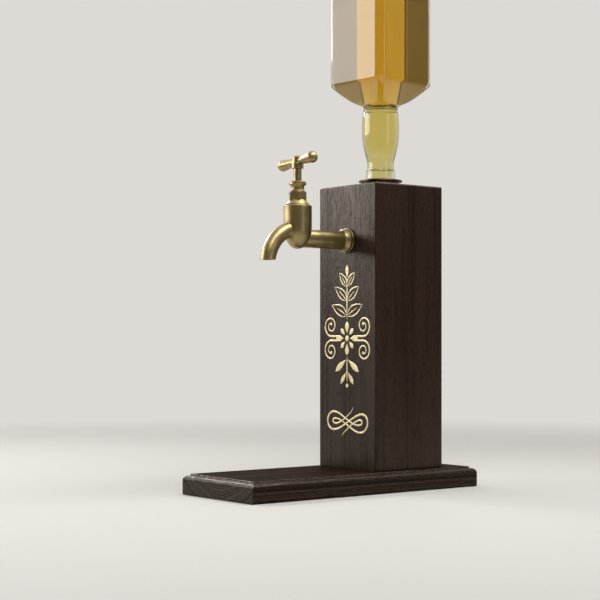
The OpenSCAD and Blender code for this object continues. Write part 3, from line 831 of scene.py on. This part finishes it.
class Well:
    """Lined well in the post's top, the seat that the bottle stands in, and the small steel and rubber."""

    def dress(self, axis: Pair) -> None:
        """Gives the seat its browned steel, the lining its plastic, and screws, pins and seals their stuff.

        Args:
            axis: X and Y of the axis that the seat was turned on.
        """
        steel = TurnedSteel("turned_steel", axis).material()
        rubber = Moulding("black_rubber", "#1c1b1a", "#121110", 0.7, 0.5).material()
        dress(Moulding("food_plastic", "#dcd8cc", "#cfcabb", 1.2, 0.4).material(), "reservoir_cup")
        dress(steel, "base_screws", "jumper_keeper", "handle_grub_screw")
        dress(TurnedSteel("browned_steel", axis, 0.8, "#7c6c62", "#5a4c44").material(), "bottle_seat")
        dress(rubber, "seat_gasket", "port_seal", "wall_washer", "tap_washer")


class Tap:
    """Bib tap with its spout, its bonnet and the valve that the handle lifts."""

    def dress(self) -> None:
        """Gives the castings their brass, and the packings their own stuff."""
        brass = SatinBrass("satin_brass").material()
        dress(brass, "tap_body", "wall_flange", "bonnet", "gland_nut")
        dress(brass, "jumper", "washer_nut", "spindle", "handle")
        dress(Moulding("red_fibre", "#6b3a26", "#52291a", 0.8, 0.7).material(), "bonnet_washer")
        dress(Moulding("greased_packing", "#cdbf9a", "#b5a67e", 0.6, 0.5).material(), "gland_packing")


@dataclass(frozen=True)
class Bottle:
    """Square spirit bottle upside down in the seat, with the drink in it.

    Heights are above the underside of the bead that it hangs by.

    Attributes:
        axis: X and Y of the bottle's axis.
        ledge: Height of the bead's underside in the row frame.
        finish: Length of the threaded finish below the bead.
        bead: Radius of the bead.
        neck: Radius of the neck above the bead.
        bulge: Greatest radius of the swollen neck.
        bulge_at: Height of the bulge.
        sweep: Radius of the bulge's long curve.
        fillet: Radius of the curve that runs from the neck into it.
        half: Half of the body's width.
        corner: Radius of the body's upright corners.
        tall: Height of the base.
        wall: Thickness of the glass.
        bore: Radius of the mouth.
        level: Height of the drink.
        lap: How far the drink reaches into the glass, so that no air shows between them.
        turn: Degrees that it stands turned by.
    """

    axis: Pair
    ledge: float
    finish: float = 19.1
    bead: float = 15.9
    neck: float = 14.5
    bulge: float = 20.25
    bulge_at: float = 55.9
    sweep: float = 113.0
    fillet: float = 25.0
    half: float = 40.75
    corner: float = 10.0
    tall: float = 221.5
    wall: float = 3.4
    bore: float = 9.5
    level: float = 203.0
    lap: float = 0.12
    turn: float = 4.0

    def throat(self, height: np.ndarray) -> np.ndarray:
        """Gives the radius of the swollen neck: a straight piece, a hollow arc and a long round one.

        The hollow arc is centred outside the neck and the round one across the axis, and they touch
        where the line between their centres crosses them.

        Args:
            height: Heights that are asked for.

        Returns:
            Radius at each height.
        """
        middle = self.bulge - self.sweep
        out = self.neck + self.fillet - middle
        drop = math.sqrt((self.sweep + self.fillet) ** 2 - out ** 2)
        foot = self.bulge_at - drop
        meet = self.bulge_at - drop * self.sweep / (self.sweep + self.fillet)
        hollow = self.neck + self.fillet - np.sqrt(np.maximum(self.fillet ** 2 - (height - foot) ** 2, 0))
        swell = middle + np.sqrt(self.sweep ** 2 - (height - self.bulge_at) ** 2)
        return np.where(height < foot, self.neck, np.where(height < meet, hollow, swell))

    def outside(self) -> np.ndarray:
        """Draws the outer line from the middle of the base to the mouth.

        It runs over the base with its push-up, the heel, the body, the shoulder, the collar, a groove,
        the swollen neck, the bead and the finish.

        Returns:
            Half width and height of each point.
        """
        base = eased([
            (0.6, self.tall - 2.4, 0),
            (20, self.tall - 2.2, 6),
            (30, self.tall, 3),
            (self.half, self.tall, 7.5),
            (self.half, 101.0, 2.5),
            (18.6, 79.2, 1.2),
            (18.4, 76.4, 0.8),
            (18.2, 75.6, 0),
        ])
        rise = np.linspace(75.2, 11.4, 150)
        groove = 0.9 * np.exp(-((rise - 73.6) / 0.7) ** 2)
        stem = np.stack((self.throat(rise) - groove, rise), axis=-1)
        mouth = eased([
            (self.neck, 11.0, 0),
            (self.neck, 10.2, 0.4),
            (self.bead, 10.2, 0.9),
            (self.bead, 0.0, 0.9),
            (13.2, 0.0, 0.5),
            (13.2, -self.finish, 1.4),
            (11.5, -self.finish, 0),
        ])
        return np.vstack((spaced(base, 3.0), stem, spaced(mouth, 0.4)))

    def inside(self) -> np.ndarray:
        """Draws the inner line from the mouth to the middle of the base, a wall's thickness in.

        Returns:
            Half width and height of each point.
        """
        room = self.half - self.wall
        mouth = eased([
            (11.0, -self.finish, 0),
            (self.bore, -self.finish, 1.2),
            (self.bore, 4.0, 3.0),
            (11.1, 11.0, 0),
        ])
        rise = np.linspace(12.0, 75.0, 90)
        stem = np.stack((self.throat(rise) - self.wall, rise), axis=-1)
        base = eased([
            (14.9, 76.4, 0),
            (14.9, 80.6, 2.0),
            (room, 102.4, 4.0),
            (room, self.tall - 6.0, 7.0),
            (0.6, self.tall - 6.0, 0),
        ])
        return np.vstack((spaced(mouth, 1.0), stem, spaced(base, 3.0)))

    def contents(self) -> np.ndarray:
        """Draws the drink's line from the mouth up the inner line to its level, and over its hollow skin.

        Returns:
            Half width and height of each point.
        """
        inside = self.inside()
        low, skin = 0.8 - self.finish, self.level - 1.5
        wet = inside[(inside[:, 1] < self.level) & (inside[:, 1] > low)] + (self.lap, 0.0)
        edge = wet[-1, 0]
        top = eased([
            (edge, self.level, 0),
            (edge - 1.4, self.level - 1.1, 0.8),
            (edge - 6, skin, 2),
            (0.6, skin, 0),
        ])
        return np.vstack(([(0.6, low), (self.bore - 1.0, low)], wet, spaced(top, 4.0)))

    def squareness(self, line: np.ndarray, corner: float) -> np.ndarray:
        """Gives each section's corner radius as a share of its half width, from the round collar on."""
        heights = (77.5, 79.5, 83.0, 88.0, 95.0, 102.0)
        return np.interp(line[:, 1], heights, (1.0, 0.8, 0.3, 0.14, 0.13, corner))

    def loft(self, line: np.ndarray, share: np.ndarray, threaded: bool) -> np.ndarray:
        """Carries a rounded square along a line.

        In the direction p of a section of half width h and corner share k, with m = 1 - k, the surface is
        h / cos p away on a flat, and h (m (cos p + sin p) + sqrt(k^2 - m^2 (sin p - cos p)^2)) at a corner.

        Args:
            line: Half width and height of each point.
            share: Corner share at each point.
            threaded: Whether the finish gets its screw thread.

        Returns:
            Points of shape (rows, columns, 3), in the row frame.
        """
        flat, bend = np.linspace(-36, 36, 25)[:-1], np.linspace(36, 54, 17)[:-1]
        quarter = np.concatenate((flat, bend))
        way = np.radians((quarter[None, :] + np.arange(4)[:, None] * 90).ravel())
        off = np.abs((way + math.pi / 4) % (math.pi / 2) - math.pi / 4)
        half, k = line[:, :1], share[:, None]
        m = 1 - k
        tip = np.arctan(m)
        root = np.maximum(k ** 2 - m ** 2 * (np.sin(off) - np.cos(off)) ** 2, 0)
        round_off = m * (np.cos(off) + np.sin(off)) + np.sqrt(root)
        reach = half * np.where(off < tip, 1 / np.cos(off), round_off)
        if threaded:
            reach = reach + self.thread(line[:, 1:], way)
        way = way + math.radians(self.turn)
        height = np.broadcast_to(line[:, 1:] + self.ledge, reach.shape)
        across, along = self.axis[0] + reach * np.cos(way), self.axis[1] + reach * np.sin(way)
        return np.stack((across, along, height), axis=-1)

    def thread(self, height: np.ndarray, way: np.ndarray) -> np.ndarray:
        """Raises a screw thread of a turn and a half on the finish: a bell-shaped ridge about a helix.

        Args:
            height: Heights, as a column.
            way: Directions about the axis, in radians.

        Returns:
            How far the surface is raised at each height and direction.
        """
        about = (way[None, None, :] + 2 * math.pi * np.arange(3)[:, None, None]) / (2 * math.pi)
        crest = -15.0 + 4.2 * about
        fade = np.clip(np.minimum(about - 0.2, 2.1 - about) / 0.2, 0, 1)
        ridge = fade * np.exp(-((height[None] - crest) / 0.75) ** 2)
        return 0.95 * ridge.max(axis=0)

    def build(self) -> None:
        """Builds the glass in place of its CAD node, and the drink that fills it up to its level."""
        outside, inside, contents = self.outside(), self.inside(), self.contents()
        room = (self.corner - self.wall) / (self.half - self.wall)
        outer = self.loft(outside, self.squareness(outside, self.corner / self.half), True)
        inner = self.loft(inside, self.squareness(inside, room), False)
        filling = self.loft(contents, self.squareness(contents, room), False)
        glass = solid("glass_bottle", [np.concatenate((outer, inner))], ClearGlass("bottle_glass").material())
        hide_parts("bottle")
        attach(glass, "bottle")
        drink = solid("amber_drink", [filling], AmberDrink("amber_spirit").material())
        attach(drink, "bottle")
        for piece in (glass, drink):
            log.info("%s: %d vertices", piece.name, len(piece.data.vertices))


@dataclass(frozen=True)
class Stroke:
    """One line of the gilding, drawn with a broad pen that swells and thins.

    Attributes:
        path: X and Z of the points along it.
        width: Width at each point.
    """

    path: np.ndarray
    width: np.ndarray

    def mirrored(self) -> "Stroke":
        """Gives the same stroke on the other side of the middle."""
        return Stroke(self.path * (-1, 1), self.width)

    def surface(self, front: float) -> np.ndarray:
        """Carries a flat lens along the path: half of an ellipse stands proud and the other is sunk.

        Args:
            front: Y of the face that it lies on, which looks along -Y.

        Returns:
            Points of shape (points of the path, points of the lens, 3).
        """
        way = np.gradient(self.path, axis=0)
        way /= np.linalg.norm(way, axis=1, keepdims=True)
        side = np.stack((-way[:, 1], way[:, 0]), axis=-1)
        turn = np.linspace(0, 2 * math.pi, 10, endpoint=False)
        across = self.width[:, None] / 2 * np.cos(turn)
        proud = np.where(np.sin(turn) > 0, 0.16, 0.1) * np.sin(turn)
        lift = proud * np.minimum(self.width / 0.5, 1)[:, None]
        spot = self.path[:, None, :] + across[..., None] * side[:, None, :]
        return np.stack((spot[..., 0], front - lift, spot[..., 1]), axis=-1)


@dataclass(frozen=True)
class Gilding:
    """Gilt sprig with a rosette and scrolls on the post's front, and a penman's flourish below it.

    Attributes:
        front: Y of the post's front face.
        heart: Height of the rosette.
        foot: Height of the flourish.
        pen: Greatest width of a line.
        tip: Least width, where a leaf or a dot comes to a point.
        steps: Points along a leaf.
    """

    front: float
    heart: float = 160.0
    foot: float = 70.8
    pen: float = 1.9
    tip: float = 0.1
    steps: int = 33

    def swell(self, count: int) -> np.ndarray:
        """Gives the width of a stroke that is full in the middle and pointed: the root of a half sine."""
        return self.pen * np.maximum(np.sqrt(np.sin(np.linspace(0, math.pi, count))), 0.1)

    def spine(self, root: Pair, angle: float, length: float, curl: float) -> tuple[np.ndarray, np.ndarray]:
        """Draws the middle line of a leaf, which bends aside as the square of the way along it.

        Args:
            root: X and Z that it grows from.
            angle: Degrees from the upright, towards +X.
            length: Length of the leaf.
            curl: How far its tip bends aside.

        Returns:
            Points of the line, and the direction across it.
        """
        t = np.linspace(0, 1, self.steps)[:, None]
        lean = math.radians(angle)
        way = np.array((math.sin(lean), math.cos(lean)))
        side = np.array((math.cos(lean), -math.sin(lean)))
        return np.array(root) + length * t * way + curl * t ** 2 * side, side

    def leaf(self, root: Pair, angle: float, length: float, belly: float) -> list[Stroke]:
        """Draws a leaf in outline: two sides that bow out as a sine does, and a rib part of the way.

        Args:
            root: X and Z that it grows from.
            angle: Degrees from the upright, towards +X.
            length: Length of the leaf.
            belly: How far each side bows out.

        Returns:
            The strokes.
        """
        spine, side = self.spine(root, angle, length, 0.12 * length)
        bow = belly * np.sin(math.pi * np.linspace(0, 1, self.steps) ** 0.8)[:, None] * side
        thin = 0.8 * self.swell(self.steps)
        rib = spine[:self.steps * 2 // 3]
        return [Stroke(spine + bow, thin), Stroke(spine - bow, thin), Stroke(rib, 0.6 * self.swell(len(rib)))]

    def blade(self, root: Pair, angle: float, length: float, breadth: float) -> Stroke:
        """Draws a leaf laid in solid gold, as wide as a skewed sine along it.

        Args:
            root: X and Z that it grows from.
            angle: Degrees from the upright, towards +X.
            length: Length of the leaf.
            breadth: Greatest width.

        Returns:
            The stroke.
        """
        spine, _ = self.spine(root, angle, length, 0.0)
        width = breadth * np.sin(math.pi * np.linspace(0, 1, self.steps) ** 1.4)
        return Stroke(spine, np.maximum(width, self.tip))

    def scroll(self, start: Pair, eye: float, size: float, rise: float) -> list[Stroke]:
        """Draws a scroll: a straight run out, a spiral whose radius falls off evenly, and a dot in its eye.

        Args:
            start: X and Z where it sets out.
            eye: X of the spiral's middle.
            size: Radius that it starts with.
            rise: One if it curls up and minus one if it curls down.

        Returns:
            The strokes.
        """
        t = np.linspace(0, 1, 90)
        angle = -math.pi / 2 + 3.1 * math.pi * t
        radius = size * (1 - 0.8 * t)
        across, upward = eye + radius * np.cos(angle), start[1] + rise * (size + radius * np.sin(angle))
        coil = np.stack((across, upward), axis=-1)
        run = np.linspace(start, coil[0], 16)[:-1]
        path = np.vstack((run, coil))
        along = np.linspace(0, 1, len(path))
        width = self.pen * (1.15 - 0.5 * along) * np.clip(np.sin(math.pi * along) * 6, 0.1, 1)
        return [Stroke(path, width), self.dot(tuple(coil[-1]), 1.7)]

    def dot(self, middle: Pair, radius: float) -> Stroke:
        """Draws a round dot as a short stroke whose width follows a circle.

        Args:
            middle: X and Z of its middle.
            radius: Radius of the dot.

        Returns:
            The stroke.
        """
        along = np.cos(np.linspace(math.pi, 0, 15))
        path = np.array(middle) + np.stack((0 * along, radius * along), axis=-1)
        return Stroke(path, np.maximum(2 * radius * np.sqrt(1 - along ** 2), self.tip))

    def rosette(self) -> list[Stroke]:
        """Draws eight solid petals, long and short in turn, about a dot.

        Returns:
            The strokes.
        """
        lean = np.radians(np.arange(0, 360, 45))
        roots = np.stack((4.6 * np.sin(lean), self.heart + 4.6 * np.cos(lean)), axis=-1)
        petals = [
            self.blade(tuple(root), math.degrees(angle), 13.5 - 3.5 * (at % 2), 6.6 - 1.4 * (at % 2))
            for at, (root, angle) in enumerate(zip(roots, lean))
        ]
        return petals + [self.dot((0.0, self.heart), 3.0)]

    def sprig(self) -> list[Stroke]:
        """Draws the stem above and below the rosette, with leaves in pairs and scrolls to both sides.

        Returns:
            The strokes.
        """
        half = []
        for height, angle, length in ((24, 58, 27), (40, 45, 24), (55, 32, 19)):
            half += self.leaf((0.8, self.heart + height), angle, length, 0.2 * length)
        for depth, angle, length in ((22, 126, 23), (35, 144, 17)):
            half.append(self.blade((0.8, self.heart - depth), angle, length, 0.3 * length))
        for rise in (1.0, -1.0):
            half += self.scroll((9.0, self.heart + 2.2 * rise), 27.0, 11.0, rise)
        both = half + [stroke.mirrored() for stroke in half]
        along = np.linspace(0, 1, 49)
        top = Stroke(np.stack((0 * along, self.heart + 19 + 46 * along), axis=-1), self.swell(49))
        low = Stroke(np.stack((0 * along, self.heart - 19 - 27 * along), axis=-1), self.swell(49))
        bud = self.blade((0.0, self.heart + 63), 0, 15, 5.4)
        return both + [top, low, bud, self.dot((0.0, self.heart - 50), 2.2)]

    def flourish(self) -> list[Stroke]:
        """Draws a penman's knot in one line: a figure of eight gone through twice.

        The figure is x = -a sin t and z = -b sin 2t. The first way round is wide and the second narrow.
        Between them the line drifts, so that it crosses itself in a braid, and it runs out into a tail at
        each end.

        Returns:
            The stroke.
        """
        t = np.linspace(-1, 1, 321) * (2 * math.pi + 0.62)
        halves = np.abs(t) / math.pi
        inner = smooth(0.72, 0.5, halves)
        tail = np.maximum(np.abs(t) - 2 * math.pi, 0)
        across = -(33.0 - 9.0 * inner - 12.0 * tail) * np.sin(t)
        apart = smooth(0.55, 0.35, halves) * (1 - smooth(1.1, 0.8, halves))
        drift = 3.0 * np.sign(t) * apart - 6.8 * (t / (2 * math.pi)) ** 5
        upward = -(8.7 - 3.6 * inner) * np.sin(2 * t) + drift + 1.2 * np.sin(t) ** 2
        swelling = 0.95 + 0.4 * np.abs(np.sin(t)) - 0.25 * inner
        width = self.pen * swelling * np.clip((t[-1] - np.abs(t)) * 2.2, 0.15, 1)
        return [Stroke(np.stack((0.6 + across, self.foot + upward), axis=-1), width)]

    def build(self) -> None:
        """Builds each motif as one piece on the stand."""
        leaf = GoldLeaf("gold_leaf").material()
        motifs = {
            "gilt_rosette": self.rosette(),
            "gilt_sprig": self.sprig(),
            "gilt_flourish": self.flourish(),
        }
        for name, strokes in motifs.items():
            piece = solid(name, [stroke.surface(self.front) for stroke in strokes], leaf)
            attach(piece, "stand")
            log.info("%s: %d strokes, %d vertices", name, len(strokes), len(piece.data.vertices))


@dataclass(frozen=True)
class Lamp:
    """Oblong soft lamp that looks at a point of the object.

    Attributes:
        name: Name of the lamp.
        place: Where it hangs, in metres.
        aim: Point that it looks at, in metres.
        wide: Breadth of its face, in metres.
        high: Height of its face, in metres.
        power: Power in watts.
    """

    name: str
    place: Triple
    aim: Triple
    wide: float
    high: float
    power: float

    def build(self) -> None:
        """Hangs the lamp, which neither the eye nor the glass looks straight at."""
        data = bpy.data.lights.new(self.name, "AREA")
        data.shape, data.size, data.size_y, data.energy = "RECTANGLE", self.wide, self.high, self.power
        lamp = bpy.data.objects.new(self.name, data)
        lamp.location = self.place
        lamp.rotation_euler = (Vector(self.aim) - Vector(self.place)).to_track_quat("-Z", "Y").to_euler()
        lamp.visible_camera = lamp.visible_transmission = False
        bpy.context.scene.collection.objects.link(lamp)


@dataclass(frozen=True)
class Studio:
    """Pale floor and backdrop, soft lamps, and the camera.

    Attributes:
        backdrop: The backdrop.
    """

    backdrop: Backdrop = Backdrop()

    def build(self) -> None:
        """Lays the floor, hangs the lamps, and sets the world, the view and the camera."""
        self.floor()
        self.world()
        Lamp("key_lamp", (-1.02, -1.07, 0.66), (0.0, 0.03, 0.3), 1.1, 0.48, 10.0).build()
        Lamp("strip_lamp", (0.45, 0.06, 1.15), (0.0, -0.06, 0.22), 1.5, 0.45, 15.5).build()
        Lamp("left_lamp", (-1.0, -0.1, 0.78), (0.0, -0.12, 0.05), 0.4, 0.3, 4.6).build()
        Lamp("right_lamp", (1.42, 0.2, 0.46), (0.0, -0.08, 0.3), 0.22, 0.8, 1.3).build()
        Lamp("rim_lamp", (0.45, 1.6, 1.1), (0.0, 0.05, 0.35), 0.5, 0.5, 1.0).build()
        self.camera()
        bpy.context.scene.view_settings.view_transform = "Standard"

    def floor(self) -> None:
        """Lays a round floor: a fan of rings, wide enough to reach the horizon."""
        turn = np.linspace(0, 2 * math.pi, 96, endpoint=False)
        ring = np.stack((np.cos(turn), np.sin(turn), 0 * turn), axis=-1)
        sizes = np.array((30000.0, 30000.0, 2.0))
        drops = np.array((-40.0, -0.05, -0.05))
        grid = sizes[:, None, None] * ring[None] + drops[:, None, None] * np.array((0, 0, 1))
        card = PaleFloor("pale_card", "#d6d3ce", "#cecbc6", self.backdrop)
        solid("floor", [grid], card.material())

    def world(self) -> None:
        """Sets the pale backdrop that the eye sees, and its light, which is strongest on the bright side."""
        world = bpy.data.worlds.new("studio")
        world.use_nodes = True
        tree = world.node_tree
        tree.nodes.clear()
        way = add(tree, "TexCoord", output="Generated")
        side = self.backdrop.grade(tree, way, self.backdrop.shade)
        gathered = add(tree, "Math", {0: side, 1: self.backdrop.glow}, operation="MULTIPLY")
        seen = self.backdrop.outlook(tree, way)
        strength = add(tree, "Math", {0: seen, 1: gathered}, operation="MAXIMUM")
        sky = add(tree, "Background", {"Color": linear(self.backdrop.colour), "Strength": strength})
        add(tree, "OutputWorld", {"Surface": sky})
        bpy.context.scene.world = world

    def camera(self) -> None:
        """Sets the camera level, with its lens shifted up, where the photograph was taken from."""
        data = bpy.data.cameras.new("camera")
        data.lens, data.sensor_width, data.shift_y = 88.99, 36.0, 0.0666
        data.dof.use_dof = False
        camera = bpy.data.objects.new("camera", data)
        camera.location = (1.2122, -0.9855, 0.1583)
        camera.rotation_euler = (math.pi / 2, 0.0, math.radians(52.196))
        bpy.context.scene.collection.objects.link(camera)
        bpy.context.scene.camera = camera


def main() -> None:
    """Builds the object's looks in order, then the studio."""
    logging.basicConfig(level=logging.INFO, format="%(message)s")
    low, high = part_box("bottle")
    axis = ((low.x + high.x) / 2 / MILLIMETRE, (low.y + high.y) / 2 / MILLIMETRE)
    Stand().dress()
    Well().dress(axis)
    Tap().dress()
    Bottle(axis, low.z / MILLIMETRE + Bottle.finish).build()
    Gilding(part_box("post")[0].y / MILLIMETRE).build()
    Studio().build()


if __name__ == "__main__":
    main()
